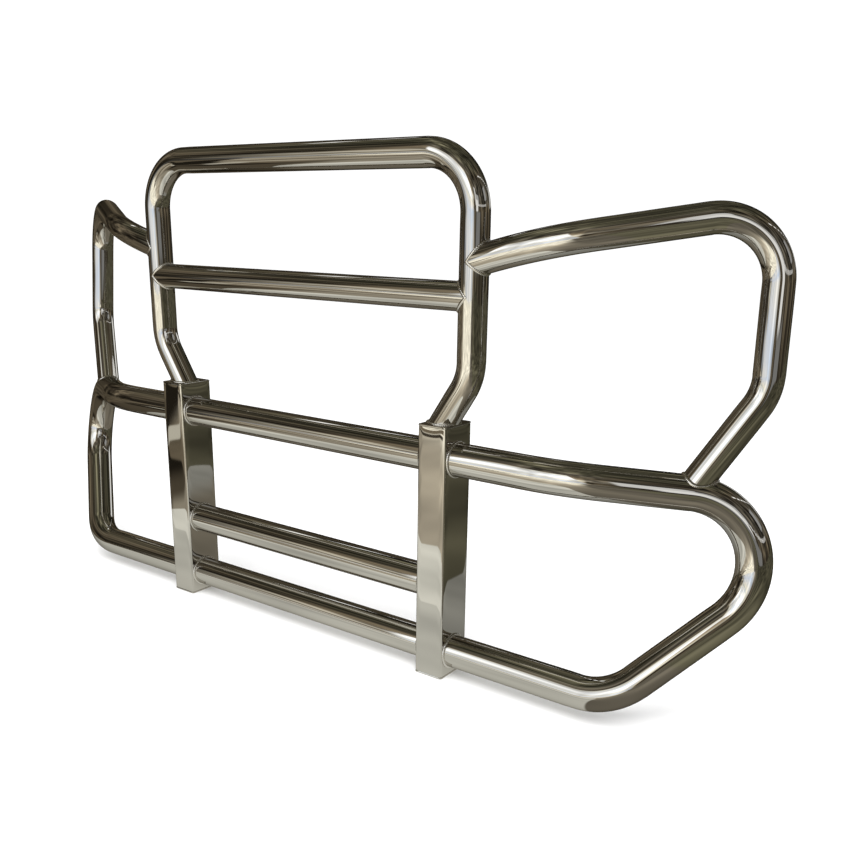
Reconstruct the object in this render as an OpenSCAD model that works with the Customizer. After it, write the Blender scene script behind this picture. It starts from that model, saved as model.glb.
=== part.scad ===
// Front grille guard for a heavy truck: a bent hoop on two box uprights, three cross rails,
// a swept loop on each side and a swept wing above each loop.
// Units are millimetres. +X is to the right seen from in front, +Y is towards the truck, +Z is up.
// The origin is on the ground line, at the middle of the guard's width and depth.

/* [Tube stock] */
// Outside diameter of the rails and side loops
main_tube_d = 76.2; // [70:0.1:80]
// Outside diameter of the hoop, its crossbar and the wings
slim_tube_d = 63.5; // [57:0.1:66]
// Wall of the round tubes
tube_wall = 2; // [1.5:0.1:3]
// Centreline radius of every bend in the main tube
main_bend_r = 148; // [140:1:155]
// Centreline radius of every bend in the slim tube
slim_bend_r = 120; // [110:1:128]

/* [Uprights] */
// Distance between the centres of the two uprights
upright_spacing = 864; // [840:2:880]
// Width of an upright, across the guard
upright_w = 76.2; // [76:0.1:80]
// Depth of an upright, front to back
upright_d = 101.6; // [95:0.1:110]
// Height of an upright with both its caps
upright_h = 600; // [585:1:605]
// Wall of the box section
upright_wall = 3; // [2:0.1:4]
// Outside corner radius of the box section
upright_corner_r = 6; // [4.5:0.1:10]
// Thickness of the top and bottom caps
cap_t = 4; // [3:0.1:6]
// Diameter of the drain hole in each bottom cap
drain_d = 12; // [8:1:20]
// Distance from the uprights' front faces to the plane of the tube centrelines
tube_setback = 46; // [42:0.5:52]

/* [Cross rails] */
// Height of the upper rail and of the loops' top bars
upper_rail_z = 522; // [515:0.5:530]
// Height of the middle rail
middle_rail_z = 218.5; // [180:0.5:300]
// Height of the lower rail and of the loops' bottom bars
lower_rail_z = 58.5; // [50:0.5:65]

/* [Hoop] */
// Distance between the hoop's two legs, centre to centre
hoop_w = 1002; // [990:2:1020]
// Height of the hoop's top bar
hoop_top_z = 1164; // [1140:1:1190]
// Height at which the legs turn in towards the uprights
hoop_knee_z = 706; // [700:1:715]
// Height of the crossbar
crossbar_z = 876; // [850:1:890]

/* [Side loops] */
// Distance from the middle of the guard to the corner where the top bar sweeps back
loop_top_x = 727; // [720:1:740]
// Distance from the middle of the guard to the corner where the bottom bar turns up
loop_low_x = 873; // [860:1:885]
// Horizontal run of the top bar, from its corner to the corner of the nose
loop_run = 633; // [625:1:640]
// Angle at which the top bar sweeps back
loop_sweep = 29; // [27:0.5:31]
// Angle at which the top bar falls towards the nose
loop_fall = 3.6; // [3:0.1:4.5]
// Centreline radius of the sweep bend in the top bar
loop_sweep_r = 331; // [300:1:350]

/* [Wings] */
// Height at which a wing leaves the hoop
wing_root_z = 948; // [940:1:960]
// Distance from the middle of the guard to the corner where a wing sweeps back
wing_turn_x = 657; // [650:1:665]
// Height of that corner
wing_turn_z = 990; // [980:1:1000]
// Centreline radius of the sweep bend in a wing
wing_sweep_r = 405; // [380:1:420]
// Angle at which a wing sweeps back
wing_sweep = 29; // [27:0.5:31]
// Angle by which a wing leans forward below its sweep corner
wing_lean = 5; // [3:0.5:7]
// Horizontal run from the sweep corner to the upper tip corner
wing_tip_run = 459; // [450:1:465]
// Height of the upper tip corner
wing_tip_z = 1066; // [1055:1:1075]
// Horizontal run from the sweep corner to the lower tip corner
wing_heel_run = 472; // [468:1:480]
// Height of the lower tip corner
wing_heel_z = 713.5; // [705:0.5:720]
// Distance along a loop's top bar from its corner to the wing's foot
wing_foot_run = 263; // [255:1:270]

/* [Fixing] */
// Height of the middle of the bolt pattern in an upright's rear face
bolt_z = 220; // [180:5:300]
// Bolt spacing across the upright
bolt_dx = 36; // [34:1:38]
// Bolt spacing up the upright
bolt_dz = 160; // [120:5:200]
// Diameter of the clearance holes
bolt_hole_d = 17; // [16.5:0.1:18]
// Major diameter of the weld nuts' thread
nut_thread_d = 16; // [14:1:16]
// Width of a weld nut across its flats
nut_flats = 24; // [22:1:26]
// Height of a weld nut
nut_h = 13; // [10:1:16]
// Thickness of the backing plate inside the rear wall
plate_t = 8; // [5:1:12]

/* [Welds] */
// Size of a weld bead, measured along each face
weld_leg = 4.5; // [3:0.1:5]

/* [Hidden] */

$fn = 96;

polished = [0.80, 0.79, 0.76];
bead_colour = [0.70, 0.69, 0.66];
plain_steel = [0.45, 0.46, 0.48];

// Bending stretches the wall, so each face of a bend lies this far inside the straight tube's
bend_thinning = 0.03;
// How far a straight runs into the bend beside it
bend_lap = 0.2;
// Gap between a coped tube end and the tube that it fits round
cope_gap = 0.2;
// How far a cutting tool runs past the face that it cuts
over = 2;
// Sections round a coped bead, its clearance off the tubes, and the height of its crown
bead_rings = 48;
bead_gap = 0.1;
bead_crown = 0.25;
// Where the search for a bead's root starts along the branch, and its number of steps
bead_reach = 70;
bead_steps = 120;
// Length of hoop leg below the caps' top faces, cut away to leave the slanted foot
foot_stub = 60;
// Height of the bead at the hoop's foot as a share of its leg, and the length of the rod that trims it
foot_bead_rise = 0.7;
foot_rod_h = 180;
// Margins of the backing plate beyond the weld nuts, across and up the upright
plate_side_margin = 2;
plate_end_margin = 14;

main_r = main_tube_d / 2;
slim_r = slim_tube_d / 2;
upright_x = upright_spacing / 2;
outer_face_x = upright_x + upright_w / 2;
inner_face_x = upright_x - upright_w / 2;
hoop_x = hoop_w / 2;
plate_w = bolt_dx + nut_flats + 2 * plate_side_margin;
plate_h = bolt_dz + nut_flats + 2 * plate_end_margin;

// ---- Path arithmetic: a path is a list of corner points with a bend radius at each ----

function unit(v) = v / norm(v);
function leg(p, i) = unit(p[i + 1] - p[i]);
// Angles are kept to a thousandth of a degree, as a bender's sheet would give them
function turn(p, i) = round(acos(leg(p, i - 1) * leg(p, i)) * 1000) / 1000;
function inner_corner(p, i) = i > 0 && i < len(p) - 1;
function tangent_len(p, r, i) = inner_corner(p, i) ? r[i] * tan(turn(p, i) / 2) : 0;
function straight_len(p, r, i) =
    norm(p[i + 1] - p[i]) - tangent_len(p, r, i) - tangent_len(p, r, i + 1);
function bend_normal(p, i) = unit(cross(leg(p, i - 1), leg(p, i)));
// Turn of the bending plane about the leg before corner i, from the plane of the bend before it
function roll(p, i) =
    i < 2 ? 0 : atan2(cross(bend_normal(p, i - 1), bend_normal(p, i)) * leg(p, i - 1),
                      bend_normal(p, i - 1) * bend_normal(p, i));
function bend_centre(p, r, i) = p[i] + unit(leg(p, i) - leg(p, i - 1)) * r[i] / cos(turn(p, i) / 2);
// Furthest that the centreline of the bend at corner i reaches along +Y
function bend_reach_y(p, r, i) = bend_centre(p, r, i)[1] + r[i] * sqrt(1 - pow(bend_normal(p, i)[1], 2));

// ---- Corner points, with y counted from the tubes' centre plane ----

loop_top_corner = [loop_top_x, 0, upper_rail_z];
loop_bar_dir = unit([cos(loop_sweep), sin(loop_sweep), -tan(loop_fall)]);
loop_nose = loop_top_corner + loop_bar_dir * loop_run / cos(loop_fall);
loop_path = [
    [outer_face_x, 0, upper_rail_z],
    loop_top_corner,
    loop_nose,
    [loop_low_x, 0, lower_rail_z],
    [outer_face_x, 0, lower_rail_z]
];
loop_radii = [0, loop_sweep_r, main_bend_r, main_bend_r, 0];

function wing_point(run, z) = [
    wing_turn_x + run * cos(wing_sweep),
    run * sin(wing_sweep) + (z - wing_turn_z) * tan(wing_lean),
    z
];
wing_path = [
    [hoop_x, 0, wing_root_z],
    [wing_turn_x, 0, wing_turn_z],
    wing_point(wing_tip_run, wing_tip_z),
    wing_point(wing_heel_run, wing_heel_z),
    loop_top_corner + loop_bar_dir * wing_foot_run
];
wing_radii = [0, wing_sweep_r, slim_bend_r, slim_bend_r, 0];

leg_slope = (hoop_x - upright_x) / (hoop_knee_z - upright_h);
stub_x = upright_x - foot_stub * leg_slope;
stub_z = upright_h - foot_stub;
hoop_path = [
    [-stub_x, 0, stub_z],
    [-hoop_x, 0, hoop_knee_z],
    [-hoop_x, 0, hoop_top_z],
    [hoop_x, 0, hoop_top_z],
    [hoop_x, 0, hoop_knee_z],
    [stub_x, 0, stub_z]
];
hoop_radii = [0, slim_bend_r, slim_bend_r, slim_bend_r, slim_bend_r, 0];

// The nose bend, and how far along the top bar from its corner it begins
nose_centre = bend_centre(loop_path, loop_radii, 2);
nose_normal = bend_normal(loop_path, 2);
loop_bar_end = norm(loop_nose - loop_top_corner) - tangent_len(loop_path, loop_radii, 2);

// How far the loops' noses and the wings' tips reach behind the tubes' centre plane
loop_back = bend_reach_y(loop_path, loop_radii, 2) + main_r - bend_thinning;
wing_back = bend_reach_y(wing_path, wing_radii, 2) + slim_r - bend_thinning;
overall_d = tube_setback + max(loop_back, wing_back);
front_y = -overall_d / 2;
back_y = front_y + upright_d;
upright_y = front_y + upright_d / 2;
tube_y = front_y + tube_setback;

// ---- Shared shapes ----

// Section of a tube; an inner diameter of 0 makes it solid
module section(od, id) {
    difference() {
        circle(d = od);
        if (id > 0) {
            circle(d = id);
        }
    }
}

// Puts its children at the start of a path, with +Z along the first leg and +X towards the first bend
module path_start(p) {
    y = bend_normal(p, 1);
    z = leg(p, 0);
    x = cross(y, z);
    multmatrix([
        [x[0], y[0], z[0], p[0][0]],
        [x[1], y[1], z[1], p[0][1]],
        [x[2], y[2], z[2], p[0][2]],
        [0, 0, 0, 1]
    ])
        children();
}

// One straight leg of a bent tube, the bend after it, and the rest of the tube beyond
module tube_from(p, r, od, id, i) {
    straight = straight_len(p, r, i);
    lap_before = inner_corner(p, i) ? bend_lap : 0;
    lap_after = inner_corner(p, i + 1) ? bend_lap : 0;
    translate([0, 0, -lap_before])
        linear_extrude(height = straight + lap_before + lap_after)
            section(od, id);
    if (inner_corner(p, i + 1)) {
        translate([0, 0, straight])
            rotate([0, 0, roll(p, i + 1)])
                translate([r[i + 1], 0, 0]) {
                    rotate([90, 0, 180])
                        rotate_extrude(angle = turn(p, i + 1))
                            translate([r[i + 1], 0, 0])
                                section(od - 2 * bend_thinning, id > 0 ? id + 2 * bend_thinning : 0);
                    rotate([0, turn(p, i + 1), 0])
                        translate([-r[i + 1], 0, 0])
                            tube_from(p, r, od, id, i + 1);
                }
    }
}

// A tube bent along a path
module bent_tube(p, r, od, id) {
    translate([0, tube_y, 0])
        path_start(p)
            tube_from(p, r, od, id, 0);
}

// Puts its children at a point of the tubes' centre plane, with +Z along a direction
module facing(point, dir) {
    translate([point[0], point[1] + tube_y, point[2]])
        rotate([0, acos(dir[2] / norm(dir)), atan2(dir[1], dir[0])])
            children();
}

// A rounded rectangle made of two slabs and four corner discs
module rounded_rect(w, d, r) {
    square([w - 2 * r, d], center = true);
    square([w, d - 2 * r], center = true);
    for (sx = [-1, 1], sy = [-1, 1]) {
        translate([sx * (w / 2 - r), sy * (d / 2 - r)])
            circle(r = r);
    }
}

module upright_outline() {
    rounded_rect(upright_w, upright_d, upright_corner_r);
}

// Puts its children at the right-hand upright's centre
module at_upright() {
    translate([upright_x, upright_y, 0])
        children();
}

// Puts its children at each bolt of the right-hand upright, with +Z out of the rear face
module at_bolts(y) {
    for (sx = [-1, 1], sz = [-1, 1]) {
        translate([upright_x + sx * bolt_dx / 2, y, bolt_z + sz * bolt_dz / 2])
            rotate([-90, 0, 0])
                children();
    }
}

// A bead round a square-cut tube end, with its foot on the plane z = 0
module ring_bead(tube_r) {
    rotate_extrude()
        translate([tube_r, 0])
            intersection() {
                circle(r = weld_leg);
                square(weld_leg);
            }
}

// ---- Beads in the copes, where a branch tube meets the side of a round host tube ----

// Nearest point of the centreline of the host tube: the hoop's leg, or the loop's top bar and nose
function on_line(q, point, dir) = point + dir * ((q - point) * dir);
function on_arc(q, centre, normal, r) = centre + unit((q - centre) - normal * ((q - centre) * normal)) * r;
hoop_axis = function(q) on_line(q, [hoop_x, 0, 0], [0, 0, 1]);
loop_axis = function(q)
    (q - loop_top_corner) * loop_bar_dir < loop_bar_end
        ? on_line(q, loop_top_corner, loop_bar_dir)
        : on_arc(q, nose_centre, nose_normal, main_bend_r);

// Slides a point against dir until it is at distance r from the host tube's centreline
function settle(q, dir, axis, r, steps) =
    steps == 0 ? q : settle(q - dir * (norm(q - axis(q)) - r), dir, axis, r, steps - 1);
// Puts a point at distance r from the host tube's centreline
function press(q, axis, r) = axis(q) + unit(q - axis(q)) * r;

// One section of a bead: its root, its toe on the branch, its crown and its toe on the host tube
function bead_section(base, dir, out, branch_r, axis, host_r) =
    let (
        root = settle(base + out * branch_r + dir * bead_reach, dir, axis, host_r, bead_steps),
        normal = unit(root - axis(root)),
        along = (out - dir) - normal * ((out - dir) * normal),
        toe_a = root + dir * weld_leg,
        toe_b = press(root + unit(along) * weld_leg, axis, host_r),
        crown = (toe_a + toe_b) / 2 + unit(out + normal) * weld_leg * bead_crown
    )
    [root, toe_a, crown, toe_b];

// A closed ring of bead round a branch tube that starts at base and runs along dir
module cope_bead(base, dir, branch_r, axis, host_r) {
    side = unit(cross(dir, abs(dir[0]) > abs(dir[2]) ? [0, 0, 1] : [1, 0, 0]));
    up = cross(side, dir);
    sections = [
        for (i = [0 : bead_rings - 1])
            let (
                a = 360 * i / bead_rings,
                out = side * cos(a) + up * sin(a)
            )
            bead_section(base, dir, out, branch_r + bead_gap, axis, host_r + bead_gap)
    ];
    faces = [
        for (i = [0 : bead_rings - 1], k = [0 : 3])
            let (
                j = (i + 1) % bead_rings,
                l = (k + 1) % 4
            )
            each [[4 * i + k, 4 * i + l, 4 * j + l], [4 * i + k, 4 * j + l, 4 * j + k]]
    ];
    translate([0, tube_y, 0])
        polyhedron([for (s = sections) each s], faces);
}

// A straight length of the hoop's right-hand leg, made thicker by grow
module hoop_leg_rod(grow) {
    translate([hoop_x, tube_y, hoop_knee_z + slim_bend_r])
        cylinder(r = slim_r + grow, h = hoop_top_z - hoop_knee_z - 2 * slim_bend_r);
}

// The right-hand loop's top bar and nose as a solid rod, made thicker by grow
module loop_rod(grow) {
    bent_tube(
        [loop_top_corner, loop_nose, loop_path[3]],
        [0, main_bend_r, 0],
        main_tube_d + 2 * grow,
        0
    );
}

// ---- Right-hand pieces, mirrored for the left-hand side ----

module upright() {
    difference() {
        at_upright()
            translate([0, 0, cap_t])
                linear_extrude(height = upright_h - 2 * cap_t)
                    difference() {
                        upright_outline();
                        rounded_rect(upright_w - 2 * upright_wall, upright_d - 2 * upright_wall,
                                     upright_corner_r - upright_wall);
                    }
        at_bolts(back_y - upright_wall - over)
            cylinder(d = bolt_hole_d, h = upright_wall + 2 * over);
    }
}

module top_cap() {
    at_upright()
        translate([0, 0, upright_h - cap_t])
            linear_extrude(height = cap_t)
                upright_outline();
}

module bottom_cap() {
    at_upright()
        linear_extrude(height = cap_t)
            difference() {
                upright_outline();
                circle(d = drain_d);
            }
}

module mount_plate() {
    plate_y = back_y - upright_wall - plate_t;
    difference() {
        translate([upright_x - plate_w / 2, plate_y, bolt_z - plate_h / 2])
            cube([plate_w, plate_t, plate_h]);
        at_bolts(plate_y - over)
            cylinder(d = bolt_hole_d, h = plate_t + 2 * over);
    }
}

module weld_nuts() {
    at_bolts(back_y - upright_wall - plate_t - nut_h)
        difference() {
            cylinder(d = nut_flats / cos(30), h = nut_h, $fn = 6);
            translate([0, 0, -over])
                cylinder(d = nut_thread_d, h = nut_h + 2 * over);
        }
}

module loop_tube() {
    bent_tube(loop_path, loop_radii, main_tube_d, main_tube_d - 2 * tube_wall);
}

module wing_tube() {
    difference() {
        bent_tube(wing_path, wing_radii, slim_tube_d, slim_tube_d - 2 * tube_wall);
        hoop_leg_rod(cope_gap);
        loop_rod(cope_gap);
    }
}

module loop_welds() {
    for (z = [upper_rail_z, lower_rail_z]) {
        facing([outer_face_x, 0, z], [1, 0, 0])
            ring_bead(main_r);
    }
}

module wing_welds() {
    foot = len(wing_path) - 1;
    cope_bead(wing_path[0], leg(wing_path, 0), slim_r, hoop_axis, slim_r + cope_gap);
    cope_bead(wing_path[foot], -leg(wing_path, foot - 1), slim_r, loop_axis, main_r + cope_gap);
}

module hoop_foot_weld() {
    leg_dir = [leg_slope, 0, 1];
    intersection() {
        at_upright()
            translate([0, 0, upright_h])
                linear_extrude(height = weld_leg * foot_bead_rise)
                    upright_outline();
        facing([stub_x, 0, stub_z], leg_dir)
            linear_extrude(height = foot_rod_h)
                section(slim_tube_d + 2 * weld_leg, slim_tube_d);
    }
}

// ---- Pieces that span the middle ----

module rail(z) {
    facing([-inner_face_x, 0, z], [1, 0, 0])
        linear_extrude(height = 2 * inner_face_x)
            section(main_tube_d, main_tube_d - 2 * tube_wall);
}

module rail_welds(z) {
    for (side = [-1, 1]) {
        facing([side * inner_face_x, 0, z], [-side, 0, 0])
            ring_bead(main_r);
    }
}

module both_sides() {
    children();
    mirror([1, 0, 0])
        children();
}

module left_side() {
    mirror([1, 0, 0])
        children();
}

// ---- Named sub-parts ----

module hoop_tube() {
    color(polished)
        difference() {
            bent_tube(hoop_path, hoop_radii, slim_tube_d, slim_tube_d - 2 * tube_wall);
            translate([-hoop_x, tube_y - slim_tube_d, 0])
                cube([hoop_w, 2 * slim_tube_d, upright_h]);
        }
}

module hoop_crossbar() {
    color(polished)
        difference() {
            facing([-hoop_x, 0, crossbar_z], [1, 0, 0])
                linear_extrude(height = hoop_w)
                    section(slim_tube_d, slim_tube_d - 2 * tube_wall);
            both_sides()
                hoop_leg_rod(cope_gap);
        }
}

module crossbar_welds() {
    color(bead_colour)
        both_sides()
            cope_bead([hoop_x, 0, crossbar_z], [-1, 0, 0], slim_r, hoop_axis, slim_r + cope_gap);
}

module hoop_foot_welds() {
    color(bead_colour)
        both_sides()
            hoop_foot_weld();
}

module upper_rail() {
    color(polished)
        rail(upper_rail_z);
}

module middle_rail() {
    color(polished)
        rail(middle_rail_z);
}

module lower_rail() {
    color(polished)
        rail(lower_rail_z);
}

module upper_rail_welds() {
    color(bead_colour)
        rail_welds(upper_rail_z);
}

module middle_rail_welds() {
    color(bead_colour)
        rail_welds(middle_rail_z);
}

module lower_rail_welds() {
    color(bead_colour)
        rail_welds(lower_rail_z);
}

module right_upright() {
    color(polished)
        upright();
}

module left_upright() {
    color(polished)
        left_side()
            upright();
}

module right_top_cap() {
    color(polished)
        top_cap();
}

module left_top_cap() {
    color(polished)
        left_side()
            top_cap();
}

module right_bottom_cap() {
    color(polished)
        bottom_cap();
}

module left_bottom_cap() {
    color(polished)
        left_side()
            bottom_cap();
}

module right_loop_tube() {
    color(polished)
        loop_tube();
}

module left_loop_tube() {
    color(polished)
        left_side()
            loop_tube();
}

module right_wing_tube() {
    color(polished)
        wing_tube();
}

module left_wing_tube() {
    color(polished)
        left_side()
            wing_tube();
}

module right_mount_plate() {
    color(plain_steel)
        mount_plate();
}

module left_mount_plate() {
    color(plain_steel)
        left_side()
            mount_plate();
}

module right_weld_nuts() {
    color(plain_steel)
        weld_nuts();
}

module left_weld_nuts() {
    color(plain_steel)
        left_side()
            weld_nuts();
}

module right_loop_welds() {
    color(bead_colour)
        loop_welds();
}

module left_loop_welds() {
    color(bead_colour)
        left_side()
            loop_welds();
}

module right_wing_welds() {
    color(bead_colour)
        wing_welds();
}

module left_wing_welds() {
    color(bead_colour)
        left_side()
            wing_welds();
}

hoop_tube();
hoop_crossbar();
upper_rail();
middle_rail();
lower_rail();
left_upright();
right_upright();
left_top_cap();
right_top_cap();
left_bottom_cap();
right_bottom_cap();
left_loop_tube();
right_loop_tube();
left_wing_tube();
right_wing_tube();
left_mount_plate();
right_mount_plate();
left_weld_nuts();
right_weld_nuts();
hoop_foot_welds();
crossbar_welds();
upper_rail_welds();
middle_rail_welds();
lower_rail_welds();
left_loop_welds();
right_loop_welds();
left_wing_welds();
right_wing_welds();
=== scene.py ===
import math

import bmesh
import bpy
import numpy as np
from mathutils import Matrix, Vector


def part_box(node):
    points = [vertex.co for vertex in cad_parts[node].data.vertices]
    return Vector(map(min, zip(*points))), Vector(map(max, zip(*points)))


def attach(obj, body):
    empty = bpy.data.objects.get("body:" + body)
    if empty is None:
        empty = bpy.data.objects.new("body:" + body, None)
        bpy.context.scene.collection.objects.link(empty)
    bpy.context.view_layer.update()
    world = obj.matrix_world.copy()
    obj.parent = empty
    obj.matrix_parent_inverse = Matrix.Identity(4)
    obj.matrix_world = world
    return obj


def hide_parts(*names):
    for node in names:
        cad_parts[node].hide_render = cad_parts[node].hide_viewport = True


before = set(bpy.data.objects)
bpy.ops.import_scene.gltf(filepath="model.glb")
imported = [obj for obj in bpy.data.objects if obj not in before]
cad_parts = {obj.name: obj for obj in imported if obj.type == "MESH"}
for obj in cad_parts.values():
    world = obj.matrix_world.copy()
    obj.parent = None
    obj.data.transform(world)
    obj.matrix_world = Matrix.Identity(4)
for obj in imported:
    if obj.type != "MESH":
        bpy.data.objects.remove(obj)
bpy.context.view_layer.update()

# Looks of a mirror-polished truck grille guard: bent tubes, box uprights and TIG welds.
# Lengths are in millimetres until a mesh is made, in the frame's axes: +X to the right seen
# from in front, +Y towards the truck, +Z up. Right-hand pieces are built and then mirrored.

MM = 0.001
BODY = "root"


# ---- Driving dimensions, as in the CAD model ----

TUBE_WALL = 2.0
MAIN_BEND_R = 148.0
SLIM_BEND_R = 120.0
HOOP_KNEE_Z = 706.0
LOOP_TOP_X = 727.0
LOOP_LOW_X = 873.0
LOOP_RUN = 633.0
LOOP_SWEEP = math.radians(29)
LOOP_FALL = math.radians(3.6)
LOOP_SWEEP_R = 331.0
WING_ROOT_Z = 948.0
WING_TURN = (657.0, 990.0)
WING_SWEEP_R = 405.0
WING_SWEEP = math.radians(29)
WING_LEAN = math.radians(5)
WING_TIP = (459.0, 1066.0)
WING_HEEL = (472.0, 713.5)
WING_FOOT_RUN = 263.0
UPRIGHT_WALL = 3.0
UPRIGHT_CORNER_R = 6.0
DRAIN_D = 12.0
BOLT_Z = 220.0
BOLT_DX = 36.0
BOLT_DZ = 160.0
BOLT_HOLE_D = 17.0


def cad(node):
    """Lowest and highest corners of a CAD node, in millimetres."""
    low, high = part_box(node)
    return np.array(low) / MM, np.array(high) / MM


def middle(node):
    low, high = cad(node)
    return (low + high) / 2


# Read from the frame: rails give the main tube and the tubes' centre plane, and so on
rail_low, rail_high = cad("upper_rail")
MAIN_R = (rail_high[2] - rail_low[2]) / 2
TUBE_Y = middle("upper_rail")[1]
INNER_FACE_X = rail_high[0]
UPPER_RAIL_Z = middle("upper_rail")[2]
MIDDLE_RAIL_Z = middle("middle_rail")[2]
LOWER_RAIL_Z = middle("lower_rail")[2]
cross_low, cross_high = cad("hoop_crossbar")
SLIM_R = (cross_high[2] - cross_low[2]) / 2
CROSSBAR_Z = middle("hoop_crossbar")[2]
_, hoop_high = cad("hoop_tube")
HOOP_X = hoop_high[0] - SLIM_R
HOOP_TOP_Z = hoop_high[2] - SLIM_R
upright_low, upright_high = cad("right_upright")
UPRIGHT_MID = (upright_low + upright_high) / 2
UPRIGHT_W, UPRIGHT_D = (upright_high - upright_low)[:2]
UPRIGHT_X, UPRIGHT_Y = UPRIGHT_MID[:2]
UPRIGHT_H = cad("right_top_cap")[1][2]
OUTER_FACE_X = upright_high[0]
BACK_Y = upright_high[1]


# ---- Vectors and paths ----

def vec(*xyz):
    return np.array(xyz, float)


def unit(v):
    return v / np.linalg.norm(v, axis=-1, keepdims=True)


def dot(a, b):
    return (a * b).sum(-1, keepdims=True)


X, Z = vec(1, 0, 0), vec(0, 0, 1)
MIRROR = vec(-1, 1, 1)

loop_dir = unit(vec(math.cos(LOOP_SWEEP), math.sin(LOOP_SWEEP), -math.tan(LOOP_FALL)))
loop_top = vec(LOOP_TOP_X, TUBE_Y, UPPER_RAIL_Z)
loop_nose = loop_top + loop_dir * LOOP_RUN / math.cos(LOOP_FALL)
LOOP_PATH = [
    vec(OUTER_FACE_X, TUBE_Y, UPPER_RAIL_Z),
    loop_top,
    loop_nose,
    vec(LOOP_LOW_X, TUBE_Y, LOWER_RAIL_Z),
    vec(OUTER_FACE_X, TUBE_Y, LOWER_RAIL_Z),
]
LOOP_RADII = [0, LOOP_SWEEP_R, MAIN_BEND_R, MAIN_BEND_R, 0]


def wing_point(run, z):
    x = WING_TURN[0] + run * math.cos(WING_SWEEP)
    y = TUBE_Y + run * math.sin(WING_SWEEP) + (z - WING_TURN[1]) * math.tan(WING_LEAN)
    return vec(x, y, z)


WING_PATH = [
    vec(HOOP_X, TUBE_Y, WING_ROOT_Z),
    vec(WING_TURN[0], TUBE_Y, WING_TURN[1]),
    wing_point(*WING_TIP),
    wing_point(*WING_HEEL),
    loop_top + loop_dir * WING_FOOT_RUN,
]
WING_RADII = [0, WING_SWEEP_R, SLIM_BEND_R, SLIM_BEND_R, 0]

HOOP_FOOT = vec(UPRIGHT_X, TUBE_Y, UPRIGHT_H)
HOOP_KNEE = vec(HOOP_X, TUBE_Y, HOOP_KNEE_Z)
HOOP_PATH = [
    HOOP_FOOT * MIRROR,
    HOOP_KNEE * MIRROR,
    vec(-HOOP_X, TUBE_Y, HOOP_TOP_Z),
    vec(HOOP_X, TUBE_Y, HOOP_TOP_Z),
    HOOP_KNEE,
    HOOP_FOOT,
]
HOOP_RADII = [0, SLIM_BEND_R, SLIM_BEND_R, SLIM_BEND_R, SLIM_BEND_R, 0]


class Bend:
    """The bend at corner i of a path: where it starts, its centre, its plane and its angle."""

    def __init__(self, path, radii, i):
        before, after = unit(path[i] - path[i - 1]), unit(path[i + 1] - path[i])
        self.r = radii[i]
        self.angle = math.acos(float(before @ after))
        self.take = self.r * math.tan(self.angle / 2)
        self.start = path[i] - before * self.take
        self.end = path[i] + after * self.take
        self.normal = unit(np.cross(before, after))
        self.centre = self.start + np.cross(self.normal, before) * self.r
        self.before = before


def turned(v, axis, angle):
    """v turned about a unit axis by the right-hand rule."""
    c, s = math.cos(angle), math.sin(angle)
    return v * c + np.cross(axis, v) * s + axis * (axis @ v) * (1 - c)


STRAIGHT_STEP = 24.0
BEND_STEP = math.radians(2.5)


def centreline(path, radii):
    """Stations along a path: (point, direction, length so far, direction to the bend's centre or None)."""
    stations = []
    at, length = path[0], 0.0
    for i in range(1, len(path)):
        last = i == len(path) - 1
        bend = None if last else Bend(path, radii, i)
        stop = path[i] if last else bend.start
        way = stop - at
        run = float(np.linalg.norm(way))
        steps = max(2, round(run / STRAIGHT_STEP))
        for k in range(0 if i == 1 else 1, steps + 1):
            stations.append((at + way * k / steps, unit(way), length + run * k / steps, None))
        length += run
        if last:
            break
        arm = bend.start - bend.centre
        steps = max(4, round(bend.angle / BEND_STEP))
        for k in range(1, steps + 1):
            a = bend.angle * k / steps
            point = bend.centre + turned(arm, bend.normal, a)
            inward = unit(bend.centre - point)
            stations.append((point, turned(bend.before, bend.normal, a), length + bend.r * a, inward))
        length += bend.r * bend.angle
        at = bend.end
    return stations


# ---- Surfaces that a tube end or a weld meets: each gives distance and outward normal ----

def plane(point, normal):
    def surface(q):
        return dot(q - point, normal), np.broadcast_to(normal, q.shape)
    return surface


def rod(point, direction, r):
    """An endless round bar."""
    def surface(q):
        away = (q - point) - direction * dot(q - point, direction)
        return np.linalg.norm(away, axis=-1, keepdims=True) - r, unit(away)
    return surface


def bar_and_nose(r):
    """The loop's swept top bar and the nose bend that follows it."""
    bend = Bend(LOOP_PATH, LOOP_RADII, 2)
    straight = rod(loop_top, loop_dir, r)

    def surface(q):
        distance, normal = straight(q)
        flat = (q - bend.centre) - bend.normal * dot(q - bend.centre, bend.normal)
        away = q - (bend.centre + unit(flat) * bend.r)
        beyond = dot(q - bend.start, loop_dir) > 0
        curved = np.linalg.norm(away, axis=-1, keepdims=True) - r
        return np.where(beyond, curved, distance), np.where(beyond, unit(away), normal)
    return surface


def settle(q, direction, surface, steps=160):
    """Slides points along a direction until they lie on a surface."""
    for _ in range(steps):
        q = q + direction * surface(q)[0]
    return q


def press(q, surface):
    """Moves points straight onto a surface."""
    for _ in range(3):
        distance, normal = surface(q)
        q = q - normal * distance
    return q


# ---- Meshes ----

def place_object(name, data):
    item = bpy.data.objects.new(name, data)
    bpy.context.scene.collection.objects.link(item)
    return item


def make_object(name, verts, faces, uvs=None):
    """A smooth-shaded mesh object. uvs gives a pair for each corner of each face, in metres."""
    mesh = bpy.data.meshes.new(name)
    mesh.from_pydata((np.asarray(verts) * MM).tolist(), [], faces)
    mesh.polygons.foreach_set("use_smooth", [True] * len(mesh.polygons))
    if uvs is not None:
        layer = mesh.uv_layers.new(name="along_and_round")
        layer.data.foreach_set("uv", np.asarray(uvs, float).ravel())
    mesh.update()
    return place_object(name, mesh)


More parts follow.
